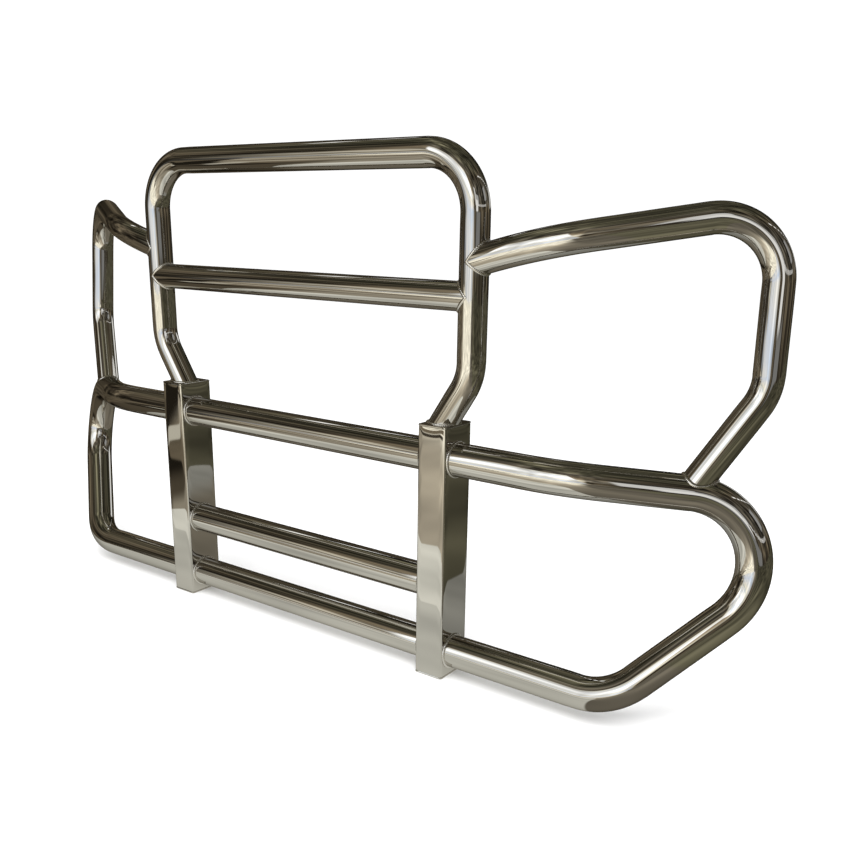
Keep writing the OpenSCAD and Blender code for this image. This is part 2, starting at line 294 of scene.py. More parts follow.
def ring_faces(first, second, count):
    """Quads between two rings of vertices, given the index of each ring's first vertex."""
    pairs = [(j, (j + 1) % count) for j in range(count)]
    return [(first + j, first + k, second + k, second + j) for j, k in pairs]


def sharpen(piece, degrees=35):
    """Keeps edges steeper than this crisp while the rest stays smooth."""
    mesh = piece.data
    work = bmesh.new()
    work.from_mesh(mesh)
    for edge in work.edges:
        if len(edge.link_faces) == 2 and edge.calc_face_angle() > math.radians(degrees):
            edge.smooth = False
    work.to_mesh(mesh)
    work.free()


SIDES = 96
ANGLES = np.arange(SIDES) * 2 * math.pi / SIDES
OVALITY = 0.012
WRINKLE_PITCH = 11.0
WRINKLE_DEPTH = 0.35


def spokes_along(stations):
    """Unit vectors from each station out to the tube's sides, carried along without a twist."""
    previous = stations[0][1]
    across = unit(np.cross(previous, X if abs(previous[0]) < 0.9 else Z))
    spokes = []
    for _, direction, _, _ in stations:
        turn_axis = np.cross(previous, direction)
        size = float(np.linalg.norm(turn_axis))
        if size > 1e-9:
            angle = math.atan2(size, float(previous @ direction))
            across = turned(across, turn_axis / size, angle)
        across = unit(across - direction * (across @ direction))
        up = np.cross(direction, across)
        spokes.append(np.outer(np.cos(ANGLES), across) + np.outer(np.sin(ANGLES), up))
        previous = direction
    return spokes


def ring_radius(r, spokes, length, inward, wrinkled):
    """The radius round one ring. A bend is a little oval, and its inside may be wrinkled."""
    radius = np.full((SIDES, 1), r)
    if inward is None:
        return radius
    facing = spokes @ inward
    radius *= 1 - OVALITY * (facing ** 2)[:, None]
    for low, high in wrinkled:
        if low < length < high:
            fade = math.sin(math.pi * (length - low) / (high - low)) ** 2
            wave = math.cos(2 * math.pi * length / WRINKLE_PITCH)
            inner = np.clip(facing, 0, 1)[:, None] ** 4
            radius -= WRINKLE_DEPTH * fade * inner * (0.5 + 0.5 * wave)
    return radius


def strip_uvs(r, first, second):
    """Texture places, in metres, of the quads between rings at two lengths along a tube."""
    uvs = []
    for angle in ANGLES:
        v0, v1 = r * MM * angle, r * MM * (angle + 2 * math.pi / SIDES)
        uvs += [(first * MM, v0), (first * MM, v1), (second * MM, v1), (second * MM, v0)]
    return uvs


def tube(name, path, radii, r, start=None, end=None, clear=0.0, wrinkled=()):
    """A hollow bent tube. start and end are the surfaces that its ends are coped to, and clear is
    how far from a coped end the plain rings stop. wrinkled lists lengths (from, to) whose inner
    bend shows faint press wrinkles."""
    stations = centreline(path, radii)
    first = clear if start else 0.0
    last = stations[-1][2] - (clear if end else 0.0)
    kept = [station for station in stations if first <= station[2] <= last]
    if start:
        kept.insert(0, stations[0])
    if end:
        kept.append(stations[-1])
    spokes = spokes_along(kept)
    radius = [ring_radius(r, out, s[2], s[3], wrinkled) for out, s in zip(spokes, kept)]
    count = len(kept)

    def skin(shrink):
        layers = []
        for i, (point, direction, _, _) in enumerate(kept):
            layer = point + spokes[i] * (radius[i] - shrink)
            if i == 0 and start:
                layer = settle(layer + direction * clear, -direction, start)
            if i == count - 1 and end:
                layer = settle(layer - direction * clear, direction, end)
            layers.append(layer)
        return layers

    verts = np.concatenate(skin(0) + skin(TUBE_WALL))
    # Pairs of ring numbers to join: the outside, then the bore, then the rims at the two ends
    strips = [(i, i + 1) for i in range(count - 1)]
    strips += [(count + i + 1, count + i) for i in range(count - 1)]
    strips += [(count, 0), (count - 1, 2 * count - 1)]
    faces, uvs = [], []
    for one, other in strips:
        faces += ring_faces(one * SIDES, other * SIDES, SIDES)
        uvs += strip_uvs(r, kept[one % count][2], kept[other % count][2])
    piece = make_object(name, verts, faces, uvs)
    sharpen(piece)
    return piece


# ---- Weld beads ----

BEAD_LEG = 4.0
BEAD_SECTIONS = 360
BEAD_ARC = 8
RIPPLE_PITCH = 3.2
RIPPLE_DEPTH = 0.16


def bead(base, direction, r, surface, seed, width_limit=None):
    """Vertices and faces of a rippled bead round a tube of radius r that leaves a surface along
    direction. width_limit keeps the bead between two x values."""
    rng = np.random.default_rng(seed)
    side = unit(np.cross(direction, X if abs(direction[2]) > 0.9 else Z))
    up = np.cross(side, direction)
    a = np.arange(BEAD_SECTIONS) * 2 * math.pi / BEAD_SECTIONS
    out = np.outer(np.cos(a), side) + np.outer(np.sin(a), up)
    start = base + out * r + direction * (3 * r)
    root = settle(start, -direction, surface)
    normal = surface(root)[1]
    along = out - direction
    along = unit(along - normal * dot(along, normal))
    waves = round(2 * math.pi * r / RIPPLE_PITCH)
    phase = waves * a
    slow = sum(rng.normal(0, 0.5) * np.sin(k * a + rng.uniform(0, 6.3)) for k in range(2, 9))
    # Each ripple is a scallop with a sharp trailing edge, like a row of coins
    scallop = np.abs(np.sin(phase / 2 + 0.25 * slow))
    leg = (BEAD_LEG * (1 + 0.05 * slow + 0.05 * scallop))[:, None]
    toe_a = root + direction * leg
    toe_b = press(root + along * leg, surface)
    crown = (toe_a + toe_b) / 2 + unit(out + normal) * leg * (0.62 + RIPPLE_DEPTH * scallop)[:, None]
    rows = []
    for k in range(BEAD_ARC + 1):
        t = k / BEAD_ARC
        rows.append(toe_a * (1 - t) ** 2 + crown * 2 * t * (1 - t) + toe_b * t ** 2)
    rows.append(root - (normal + out) * 0.3)
    if width_limit is not None:
        for row in rows:
            row[:, 0] = np.clip(row[:, 0], *width_limit)
    verts = np.stack(rows, 1).reshape(-1, 3)
    per = BEAD_ARC + 2
    faces = []
    for i in range(BEAD_SECTIONS):
        j = (i + 1) % BEAD_SECTIONS
        for k in range(per):
            m = (k + 1) % per
            faces.append((i * per + k, i * per + m, j * per + m, j * per + k))
    return verts, faces


def weld_piece(name, beads):
    """One object from several beads."""
    verts, faces, count = [], [], 0
    for bead_verts, bead_faces in beads:
        verts.append(bead_verts)
        faces.extend(tuple(i + count for i in face) for face in bead_faces)
        count += len(bead_verts)
    piece = make_object(name, np.concatenate(verts), faces)
    outward(piece)
    sharpen(piece, 60)
    return piece


def outward(piece):
    """Turns every face of a closed mesh outwards."""
    work = bmesh.new()
    work.from_mesh(piece.data)
    bmesh.ops.recalc_face_normals(work, faces=work.faces)
    work.to_mesh(piece.data)
    work.free()


def mirrored_beads(beads):
    return [(verts * MIRROR, [face[::-1] for face in faces]) for verts, faces in beads]


# ---- Box uprights and caps ----

CORNER_STEPS = 8
FACE_STEPS = 14
BOX_RINGS = 121
EDGE_ROUND = 0.9


def outline(w, d, r):
    """Points round a rectangle with round corners, and each point's outward direction."""
    points, normals = [], []
    half = vec(w / 2 - r, d / 2 - r)
    corners = [half * vec(*signs) for signs in ((1, -1), (1, 1), (-1, 1), (-1, -1))]
    for i, corner in enumerate(corners):
        for k in range(CORNER_STEPS + 1):
            a = (i - 1 + k / CORNER_STEPS) * math.pi / 2
            way = vec(math.cos(a), math.sin(a))
            points.append(corner + way * r)
            normals.append(way)
        side = corners[(i + 1) % 4] - corner
        for k in range(1, FACE_STEPS):
            points.append(corner + way * r + side * k / FACE_STEPS)
            normals.append(way)
    return np.array(points), np.array(normals)


# How far the top cap's weld pulls a wall in, over what height, the share of it at the foot and at
# a face's edges, and how far and how suddenly the rolled corners fall back
PULL = 1.1
PULL_HEIGHT = 15.0
FOOT_SHARE = 0.4
EDGE_SHARE = 0.35
CORNER_FALL = 0.35
CORNER_POWER = 16


def face_hollow(points, normals, z):
    """How far the box's walls sink at height z, from the heat of the cap welds and the rolling."""
    sideways = np.abs(normals[:, 0]) > 0.9
    width = np.where(sideways, UPRIGHT_D, UPRIGHT_W)
    flat = np.max(np.abs(normals), axis=1) > 0.999
    edge = 1 - 2 * UPRIGHT_CORNER_R / width
    place = np.abs(np.where(sideways, points[:, 1], points[:, 0])) / (width / 2)
    place = np.where(flat, np.minimum(place, edge), edge)
    near_top = math.exp(-(UPRIGHT_H - z) / PULL_HEIGHT)
    near_foot = math.exp(-z / PULL_HEIGHT)
    pull = PULL * (near_top + FOOT_SHARE * near_foot)
    sink = pull * (EDGE_SHARE + (1 - EDGE_SHARE) * (1 - place ** 2))
    return sink + CORNER_FALL * (place / edge) ** CORNER_POWER


def box_tube(name):
    """The right-hand upright: a hollow box section with slightly worked faces."""
    low, high = cad("right_upright")
    points, normals = outline(UPRIGHT_W, UPRIGHT_D, UPRIGHT_CORNER_R)
    inner_points, _ = outline(
        UPRIGHT_W - 2 * UPRIGHT_WALL, UPRIGHT_D - 2 * UPRIGHT_WALL, UPRIGHT_CORNER_R - UPRIGHT_WALL
    )
    count = len(points)
    bottom, top = low[2], high[2]
    between = np.linspace(bottom, top, BOX_RINGS)[1:-1]
    # Each ring: its height, the height that its hollow is taken at, and how far its edge is eased
    rings = [(bottom, bottom, EDGE_ROUND), (bottom + EDGE_ROUND, bottom, 0)]
    rings += [(z, z, 0) for z in between]
    rings += [(top - EDGE_ROUND, top, 0), (top, top, EDGE_ROUND)]

    def ring(outline_points, z):
        return np.column_stack([outline_points + vec(UPRIGHT_X, UPRIGHT_Y), np.full(count, z)])

    verts = []
    for z, hollow_z, eased in rings:
        back = face_hollow(points, normals, hollow_z) + eased
        verts.append(ring(points - normals * back[:, None], z))
    layers = len(verts)
    verts += [ring(inner_points, bottom), ring(inner_points, top)]
    faces = []
    for i in range(layers - 1):
        faces += ring_faces(i * count, (i + 1) * count, count)
    inner_low, inner_high = layers * count, (layers + 1) * count
    faces += ring_faces(inner_high, inner_low, count)
    faces += ring_faces(inner_low, 0, count)
    faces += ring_faces((layers - 1) * count, inner_high, count)
    piece = make_object(name, np.concatenate(verts), faces)
    drill(piece)
    sharpen(piece)
    return piece


def drill(piece):
    """Cuts the four bracket holes through the rear wall."""
    cutters = []
    for sx in (-1, 1):
        for sz in (-1, 1):
            work = bmesh.new()
            r, depth = BOLT_HOLE_D / 2 * MM, 4 * UPRIGHT_WALL * MM
            bmesh.ops.create_cone(work, cap_ends=True, segments=64, radius1=r, radius2=r, depth=depth)
            mesh = bpy.data.meshes.new("hole_cutter")
            work.to_mesh(mesh)
            work.free()
            cutter = place_object("hole_cutter", mesh)
            place = vec(UPRIGHT_X + sx * BOLT_DX / 2, BACK_Y, BOLT_Z + sz * BOLT_DZ / 2) * MM
            cutter.matrix_world = Matrix.Translation(place) @ Matrix.Rotation(math.pi / 2, 4, "X")
            cutters.append(cutter)
    for cutter in cutters:
        cut = piece.modifiers.new("hole", "BOOLEAN")
        cut.operation = "DIFFERENCE"
        cut.solver = "EXACT"
        cut.object = cutter
    bake_modifiers(piece)
    for cutter in cutters:
        bpy.data.objects.remove(cutter)


def bake_modifiers(piece):
    bpy.context.view_layer.update()
    graph = bpy.context.evaluated_depsgraph_get()
    mesh = bpy.data.meshes.new_from_object(piece.evaluated_get(graph))
    piece.modifiers.clear()
    old = piece.data
    piece.data = mesh
    bpy.data.meshes.remove(old)


def cap(name, node, drain):
    """A plate that closes an upright, with eased edges and, underneath, a drain hole."""
    low, high = cad(node)
    centre = vec(*((low + high) / 2)[:2])
    profile = [
        (low[2], EDGE_ROUND), (low[2] + 0.35, 0.3), (low[2] + EDGE_ROUND, 0),
        (high[2] - EDGE_ROUND, 0), (high[2] - 0.35, 0.3), (high[2], EDGE_ROUND),
    ]
    points, normals = outline(UPRIGHT_W, UPRIGHT_D, UPRIGHT_CORNER_R)
    count = len(points)
    verts = []
    for z, back in profile:
        verts.append(np.column_stack([points - normals * back + centre, np.full(count, z)]))
    faces = []
    for i in range(len(profile) - 1):
        faces += ring_faces(i * count, (i + 1) * count, count)
    last = (len(profile) - 1) * count
    if drain:
        a = np.arctan2(points[:, 1], points[:, 0])
        hole = np.column_stack([np.cos(a), np.sin(a)]) * DRAIN_D / 2 + centre
        verts.append(np.column_stack([hole, np.full(count, profile[0][0])]))
        verts.append(np.column_stack([hole, np.full(count, profile[-1][0])]))
        below, above = len(profile) * count, (len(profile) + 1) * count
        faces += ring_faces(below, 0, count)
        faces += ring_faces(last, above, count)
        faces += ring_faces(above, below, count)
    else:
        faces.append(tuple(range(count))[::-1])
        faces.append(tuple(range(last, last + count)))
    piece = make_object(name, np.concatenate(verts), faces)
    sharpen(piece, 25)
    return piece


def mirror_copy(piece, name):
    """The left-hand twin of a right-hand piece."""
    mesh = piece.data.copy()
    mesh.name = name
    mesh.transform(Matrix.Diagonal((-1, 1, 1, 1)))
    mesh.flip_normals()
    return place_object(name, mesh)


# ---- Materials ----

def new_material(name):
    material = bpy.data.materials.new(name)
    material.use_nodes = True
    nodes = material.node_tree.nodes
    nodes.clear()
    output = nodes.new("ShaderNodeOutputMaterial")
    shader = nodes.new("ShaderNodeBsdfPrincipled")
    material.node_tree.links.new(shader.outputs["BSDF"], output.inputs["Surface"])
    return material, nodes, material.node_tree.links, shader


def math_node(nodes, links, operation, *values):
    """A Math node's result. Each value is a number or another node's output."""
    node = nodes.new("ShaderNodeMath")
    node.operation = operation
    for socket, value in zip(node.inputs, values):
        if isinstance(value, (int, float)):
            socket.default_value = value
        else:
            links.new(value, socket)
    return node.outputs[0]


def noise(nodes, links, vector, scale, detail=3.0, roughness=0.5):
    node = nodes.new("ShaderNodeTexNoise")
    node.inputs["Scale"].default_value = scale
    node.inputs["Detail"].default_value = detail
    node.inputs["Roughness"].default_value = roughness
    links.new(vector, node.inputs["Vector"])
    return node.outputs["Fac"]


def stretched(nodes, links, vector, scale):
    """A vector with each axis scaled, to draw a texture out along one way."""
    node = nodes.new("ShaderNodeMapping")
    node.inputs["Scale"].default_value = scale
    links.new(vector, node.inputs["Vector"])
    return node.outputs["Vector"]


def remap(nodes, links, value, low, high):
    node = nodes.new("ShaderNodeMapRange")
    node.inputs["To Min"].default_value = low
    node.inputs["To Max"].default_value = high
    links.new(value, node.inputs["Value"])
    return node.outputs["Result"]


def smooth_rise(nodes, links, value, low, high):
    """0 below low and 1 above high, with a smooth change between."""
    node = nodes.new("ShaderNodeMapRange")
    node.interpolation_type = "SMOOTHSTEP"
    node.inputs["From Min"].default_value = low
    node.inputs["From Max"].default_value = high
    links.new(value, node.inputs["Value"])
    return node.outputs["Result"]


def tint(nodes, links, value, dark, light):
    node = nodes.new("ShaderNodeMix")
    node.data_type = "RGBA"
    node.inputs["A"].default_value = (*dark, 1)
    node.inputs["B"].default_value = (*light, 1)
    links.new(value, node.inputs["Factor"])
    return node.outputs["Result"]


def bump(nodes, links, height, distance, strength, below=None):
    node = nodes.new("ShaderNodeBump")
    node.inputs["Strength"].default_value = strength
    node.inputs["Distance"].default_value = distance
    links.new(height, node.inputs["Height"])
    if below is not None:
        links.new(below, node.inputs["Normal"])
    return node.outputs["Normal"]


CORNER_HAZE = 0.22
# The hazy strip starts and is full at these shares of the corner radius in from the box's sides
STRIP_START, STRIP_FULL = 0.5, 0.3


def front_corners(nodes, links, solid):
    """1 on the uprights' front corners, where a polishing wheel reaches less well, else 0."""
    split = nodes.new("ShaderNodeSeparateXYZ")
    links.new(solid, split.inputs[0])
    from_middle = math_node(nodes, links, "ABSOLUTE", split.outputs[0])
    aside = math_node(nodes, links, "SUBTRACT", from_middle, UPRIGHT_X * MM)
    aside = math_node(nodes, links, "ABSOLUTE", aside)
    ahead = math_node(nodes, links, "SUBTRACT", UPRIGHT_Y * MM, split.outputs[1])
    near = []
    for value, edge in ((aside, UPRIGHT_W / 2), (ahead, UPRIGHT_D / 2)):
        start = (edge - UPRIGHT_CORNER_R * STRIP_START) * MM
        full = (edge - UPRIGHT_CORNER_R * STRIP_FULL) * MM
        near.append(smooth_rise(nodes, links, value, start, full))
    return math_node(nodes, links, "MULTIPLY", *near)


def polished_steel(name, lines_from, line_scale, base, dull, corners=False):
    """Mirror-polished stainless steel: long faint polishing lines, a slow waviness left by the
    buffing wheel, and patches that are a little less bright. With corners, the uprights' front
    corners are hazier."""
    material, nodes, links, shader = new_material(name)
    place = nodes.new("ShaderNodeTexCoord")
    lines_at = place.outputs[lines_from]
    solid = place.outputs["Object"]
    lines = noise(nodes, links, stretched(nodes, links, lines_at, line_scale), 1.0, 4.0, 0.6)
    slow = noise(nodes, links, solid, 9.0, 2.0, 0.5)
    patches = noise(nodes, links, solid, 3.2, 4.0, 0.6)
    links.new(tint(nodes, links, patches, dull, base), shader.inputs["Base Color"])
    shader.inputs["Metallic"].default_value = 1.0
    rough = remap(nodes, links, lines, 0.008, 0.03)
    haze = remap(nodes, links, patches, 0.0, 0.02)
    rough = math_node(nodes, links, "ADD", rough, haze)
    if corners:
        strip = front_corners(nodes, links, solid)
        rough = math_node(nodes, links, "MULTIPLY_ADD", strip, CORNER_HAZE, rough)
    links.new(rough, shader.inputs["Roughness"])
    shader.inputs["Specular Tint"].default_value = (0.5, 0.49, 0.47, 1)
    wavy = bump(nodes, links, slow, 0.0004, 0.3)
    links.new(bump(nodes, links, lines, 0.00002, 0.25, wavy), shader.inputs["Normal"])
    return material


def weld_metal():
    """Bright TIG bead: satin, with a straw and blue heat tint that comes and goes."""
    material, nodes, links, shader = new_material("weld_bead")
    solid = nodes.new("ShaderNodeTexCoord").outputs["Object"]
    patches = noise(nodes, links, solid, 42.0, 3.0, 0.6)
    grain = noise(nodes, links, solid, 900.0, 2.0, 0.6)
    colour = tint(nodes, links, patches, (0.80, 0.76, 0.68), (0.95, 0.95, 0.95))
    links.new(colour, shader.inputs["Base Color"])
    shader.inputs["Metallic"].default_value = 1.0
    links.new(remap(nodes, links, grain, 0.03, 0.12), shader.inputs["Roughness"])
    links.new(bump(nodes, links, grain, 0.0002, 0.4), shader.inputs["Normal"])
    return material


def plain_steel():
    """Rolled steel with mill scale, for the plates and nuts inside the uprights."""
    material, nodes, links, shader = new_material("plain_steel")
    solid = nodes.new("ShaderNodeTexCoord").outputs["Object"]
    scale = noise(nodes, links, solid, 60.0, 5.0, 0.65)
    grain = noise(nodes, links, solid, 700.0, 2.0, 0.5)
    colour = tint(nodes, links, scale, (0.16, 0.16, 0.17), (0.42, 0.42, 0.43))
    links.new(colour, shader.inputs["Base Color"])
    shader.inputs["Metallic"].default_value = 0.85
    links.new(remap(nodes, links, scale, 0.38, 0.6), shader.inputs["Roughness"])
    links.new(bump(nodes, links, grain, 0.0002, 0.5), shader.inputs["Normal"])
    return material


BRIGHT, DULL = (0.80, 0.785, 0.75), (0.72, 0.70, 0.66)
tube_steel = polished_steel("polished_tube", "UV", (1.2, 900.0, 1.0), BRIGHT, DULL)
box_steel = polished_steel("polished_box", "Object", (900.0, 900.0, 1.6), BRIGHT, DULL, corners=True)
bead_steel = weld_metal()
inner_steel = plain_steel()


def finish_piece(piece, material, slot, *nodes):
    piece.data.materials.clear()
    piece.data.materials.append(material)
    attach(piece, BODY)
    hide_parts(*nodes)
    return piece


def add_tube(name, *args, **kwargs):
    return finish_piece(tube(name + "_skin", *args, **kwargs), tube_steel, "polished_tube", name)


def add_welds(name, beads):
    finish_piece(weld_piece(name + "_skin", beads), bead_steel, "weld_bead", name)


# ---- The guard ----

END_CLEAR = 52.0
top_of_cap = plane(vec(0, 0, UPRIGHT_H), Z)
hoop_leg = rod(vec(HOOP_X, TUBE_Y, 0), Z, SLIM_R)
left_hoop_leg = rod(vec(-HOOP_X, TUBE_Y, 0), Z, SLIM_R)
loop_bar = bar_and_nose(MAIN_R)

add_tube("hoop_tube", HOOP_PATH, HOOP_RADII, SLIM_R, top_of_cap, top_of_cap, END_CLEAR)
cross_path = [vec(-HOOP_X, TUBE_Y, CROSSBAR_Z), vec(HOOP_X, TUBE_Y, CROSSBAR_Z)]
add_tube("hoop_crossbar", cross_path, [0, 0], SLIM_R, left_hoop_leg, hoop_leg, END_CLEAR)
for rail, rail_z in (("upper", UPPER_RAIL_Z), ("middle", MIDDLE_RAIL_Z), ("lower", LOWER_RAIL_Z)):
    rail_path = [vec(-INNER_FACE_X, TUBE_Y, rail_z), vec(INNER_FACE_X, TUBE_Y, rail_z)]
    add_tube(rail + "_rail", rail_path, [0, 0], MAIN_R)
    rail_beads = [bead(rail_path[1], -X, MAIN_R, plane(rail_path[1], -X), 11 + int(rail_z))]
    add_welds(rail + "_rail_welds", rail_beads + mirrored_beads(rail_beads))

NOSE_WRINKLES = (560.0, 900.0)
right_loop = add_tube("right_loop_tube", LOOP_PATH, LOOP_RADII, MAIN_R, wrinkled=[NOSE_WRINKLES])
right_wing = add_tube("right_wing_tube", WING_PATH, WING_RADII, SLIM_R, hoop_leg, loop_bar, END_CLEAR)
for piece, node in ((right_loop, "left_loop_tube"), (right_wing, "left_wing_tube")):
    finish_piece(mirror_copy(piece, node + "_skin"), tube_steel, "polished_tube", node)

cross_beads = [bead(cross_path[1], -X, SLIM_R, hoop_leg, 3)]
add_welds("crossbar_welds", cross_beads + mirrored_beads(cross_beads))
foot_limits = (UPRIGHT_X - UPRIGHT_W / 2 + 0.4, UPRIGHT_X + UPRIGHT_W / 2 - 0.4)
foot_beads = [bead(HOOP_FOOT, unit(HOOP_KNEE - HOOP_FOOT), SLIM_R, top_of_cap, 5, foot_limits)]
add_welds("hoop_foot_welds", foot_beads + mirrored_beads(foot_beads))
outer_face = plane(vec(OUTER_FACE_X, 0, 0), X)
loop_beads = [bead(LOOP_PATH[0], X, MAIN_R, outer_face, 7), bead(LOOP_PATH[-1], X, MAIN_R, outer_face, 8)]
add_welds("right_loop_welds", loop_beads)
add_welds("left_loop_welds", mirrored_beads(loop_beads))
wing_beads = [
    bead(WING_PATH[0], unit(WING_PATH[1] - WING_PATH[0]), SLIM_R, hoop_leg, 9),
    bead(WING_PATH[-1], unit(WING_PATH[-2] - WING_PATH[-1]), SLIM_R, loop_bar, 10),
]
add_welds("right_wing_welds", wing_beads)
add_welds("left_wing_welds", mirrored_beads(wing_beads))

box_pieces = (
    (box_tube("right_upright_skin"), "upright"),
    (cap("right_top_cap_skin", "right_top_cap", False), "top_cap"),
    (cap("right_bottom_cap_skin", "right_bottom_cap", True), "bottom_cap"),
)
for piece, what in box_pieces:
    twin = mirror_copy(piece, "left_" + what + "_skin")
    finish_piece(piece, box_steel, "polished_box", "right_" + what)
    finish_piece(twin, box_steel, "polished_box", "left_" + what)

for side in ("left", "right"):
    for node in (side + "_mount_plate", side + "_weld_nuts"):
        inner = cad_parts[node]
        inner.data.materials.clear()
        inner.data.materials.append(inner_steel)


# ---- Studio ----

FLOOR_HALF = 40.0


def floor_quad(name, half, z):
    mesh = bpy.data.meshes.new(name)
    corners = [(-half, -half, z), (half, -half, z), (half, half, z), (-half, half, z)]
    mesh.from_pydata(corners, [], [(0, 1, 2, 3)])
    floor = place_object(name, mesh)
    return floor


def pale_floor():
    """The plain floor that the camera sees. The steel mirrors painted_reflection_floor instead."""
    floor = floor_quad("floor", FLOOR_HALF, 0.0)
    material, _, _, shader = new_material("pale_floor")
    shader.inputs["Base Color"].default_value = (0.96, 0.96, 0.96, 1)
    shader.inputs["Roughness"].default_value = 0.9
    shader.inputs["Specular IOR Level"].default_value = 0.0
    floor.data.materials.append(material)
    floor.visible_glossy = False


def soft_light(name, place, target, size, watts):
    data = bpy.data.lights.new(name, "AREA")
    data.shape = "SQUARE"
    data.size = size
    data.energy = watts
    light = place_object(name, data)
    light.location = place
    light.rotation_euler = (Vector(target) - Vector(place)).to_track_quat("-Z", "Y").to_euler()
    light.visible_glossy = False


def light_value(level):
    """Scene-linear value of an 8-bit screen level."""
    v = level / 255
    return v / 12.92 if v <= 0.04045 else ((v + 0.055) / 1.055) ** 2.4


# The share of light that the polished steel sends back
STEEL_SHINE = 0.78
# Tints of what the steel mirrors, as red, green and blue shares of a grey
TINTS = {
    "white": (1.0, 1.0, 0.99), "sky": (0.92, 1.0, 1.14), "stone": (1.01, 1.0, 0.90),
    "sand": (1.05, 1.0, 0.84), "tan": (1.12, 1.0, 0.78), "brown": (1.22, 1.0, 0.68),
    "olive": (1.07, 1.0, 0.66),
}


def shade(level, tint):
    """What the steel must mirror to look this bright, on a screen's scale of 0 to 255."""
    return tuple(light_value(level) / STEEL_SHINE * share for share in TINTS[tint])


class Shading:
    """Short names for the shader nodes that the room and the mirrored floor are drawn with."""

    def __init__(self, tree):
        self.nodes, self.links = tree.nodes, tree.links
        self.nodes.clear()

    def set(self, socket, value):
        if isinstance(value, tuple):
            socket.default_value = (*value, 1) if len(socket.default_value) == 4 else value
        elif isinstance(value, (int, float)):
            socket.default_value = value
        else:
            self.links.new(value, socket)

    def coordinates(self, kind):
        """A texture coordinate as a vector and as its x, y and z."""
        vector = self.nodes.new("ShaderNodeTexCoord").outputs[kind]
        split = self.nodes.new("ShaderNodeSeparateXYZ")
        self.links.new(vector, split.inputs[0])
        return vector, *split.outputs

    def math(self, operation, *values):
        return math_node(self.nodes, self.links, operation, *values)

    def dot(self, vector, azimuth):
        """How far a direction points along a level azimuth."""
        node = self.nodes.new("ShaderNodeVectorMath")
        node.operation = "DOT_PRODUCT"
        self.links.new(vector, node.inputs[0])
        a = math.radians(azimuth)
        node.inputs[1].default_value = (math.sin(a), -math.cos(a), 0)
        return node.outputs["Value"]

    def rise(self, value, low, high):
        return smooth_rise(self.nodes, self.links, value, low, high)

    def between(self, value, low, high, soft):
        up = self.rise(value, low - soft, low + soft)
        return self.math("MULTIPLY", up, self.rise(value, high + soft, high - soft))

    def all_of(self, first, *others):
        for other in others:
            first = self.math("MULTIPLY", first, other)
        return first

    def mix(self, factor, a, b, blend="MIX"):
        node = self.nodes.new("ShaderNodeMix")
        node.data_type = "RGBA"
        node.blend_type = blend
        self.set(node.inputs["Factor"], factor)
        self.set(node.inputs["A"], a)
        self.set(node.inputs["B"], b)
        return node.outputs["Result"]

    def patch(self, colour, where, level, tint):
        """The colour with a patch of one shade laid over it."""
        return self.mix(where, colour, shade(level, tint))

    def ramp(self, elevation, stops):
        """A colour for each elevation. The stops start at -90 degrees."""
        node = self.nodes.new("ShaderNodeValToRGB")
        elements = node.color_ramp.elements
        elements.remove(elements[-1])
        for degrees, level, tint in stops:
            element = elements[0] if degrees == -90 else elements.new((degrees + 90) / 180)
            element.color = (*shade(level, tint), 1)
        self.set(node.inputs["Fac"], self.math("MULTIPLY_ADD", elevation, 1 / 180, 0.5))
        return node.outputs["Color"]

    def noise(self, vector, scale, stretch=(1, 1, 1), detail=3.0):
        vector = stretched(self.nodes, self.links, vector, stretch)
        return noise(self.nodes, self.links, vector, scale, detail)

    def uneven(self, colour, vector, scale, stretch, power):
        """Makes a colour lighter and darker in patches; a higher power makes them stronger."""
        patches = self.math("MULTIPLY", self.noise(vector, scale, stretch, 2.0), 2.0)
        return self.mix(1.0, colour, self.math("POWER", patches, power), "MULTIPLY")


# ---- The hall that the steel mirrors ----
# Azimuths are in degrees: 0 is straight in front of the guard, and positive to the right seen from
# in front. Levels are on a screen's scale of 0 to 255, as seen in the steel. They and the edges were
# listed, then adjusted against average levels measured on the steel in the photo.

# How bright the hall looks at each elevation: (elevation, level, tint)
DOORWAY = [
    (-90, 180, "sand"), (-14, 225, "sand"), (-8, 232, "sand"), (-4, 212, "white"), (-1, 226, "white"),
    (2, 214, "sky"), (5, 222, "white"), (9, 222, "sand"), (12, 240, "white"), (17, 266, "white"),
    (22, 262, "white"), (26, 244, "white"), (30, 226, "white"), (34, 205, "sand"),
]
LEFT_JAMB = [
    (-90, 150, "stone"), (-6, 165, "tan"), (-4.5, 105, "brown"), (-3, 178, "sand"), (-1, 150, "sky"),
    (0.5, 190, "white"), (2, 118, "tan"), (3.5, 190, "sand"), (5.5, 110, "brown"), (7, 178, "tan"),
    (9, 140, "tan"), (13, 172, "sand"), (17, 140, "tan"), (21, 112, "brown"), (29, 82, "brown"),
    (34, 66, "brown"), (45, 76, "tan"), (56, 82, "olive"), (68, 70, "olive"), (90, 60, "olive"),
]
RIGHT_JAMB = [
    (-90, 100, "tan"), (-4, 108, "brown"), (-1, 110, "tan"), (2, 88, "brown"), (4, 48, "brown"),
    (10, 46, "brown"), (14, 96, "tan"), (21, 112, "tan"), (30, 74, "brown"), (45, 66, "tan"),
    (56, 82, "olive"), (68, 70, "olive"), (90, 60, "olive"),
]
LEFT_SIDE = [
    (-90, 90, "tan"), (-15, 82, "brown"), (-4, 62, "brown"), (4, 66, "brown"), (9, 66, "brown"),
    (14, 60, "brown"), (30, 60, "brown"), (50, 60, "olive"), (65, 70, "olive"), (90, 66, "olive"),
]
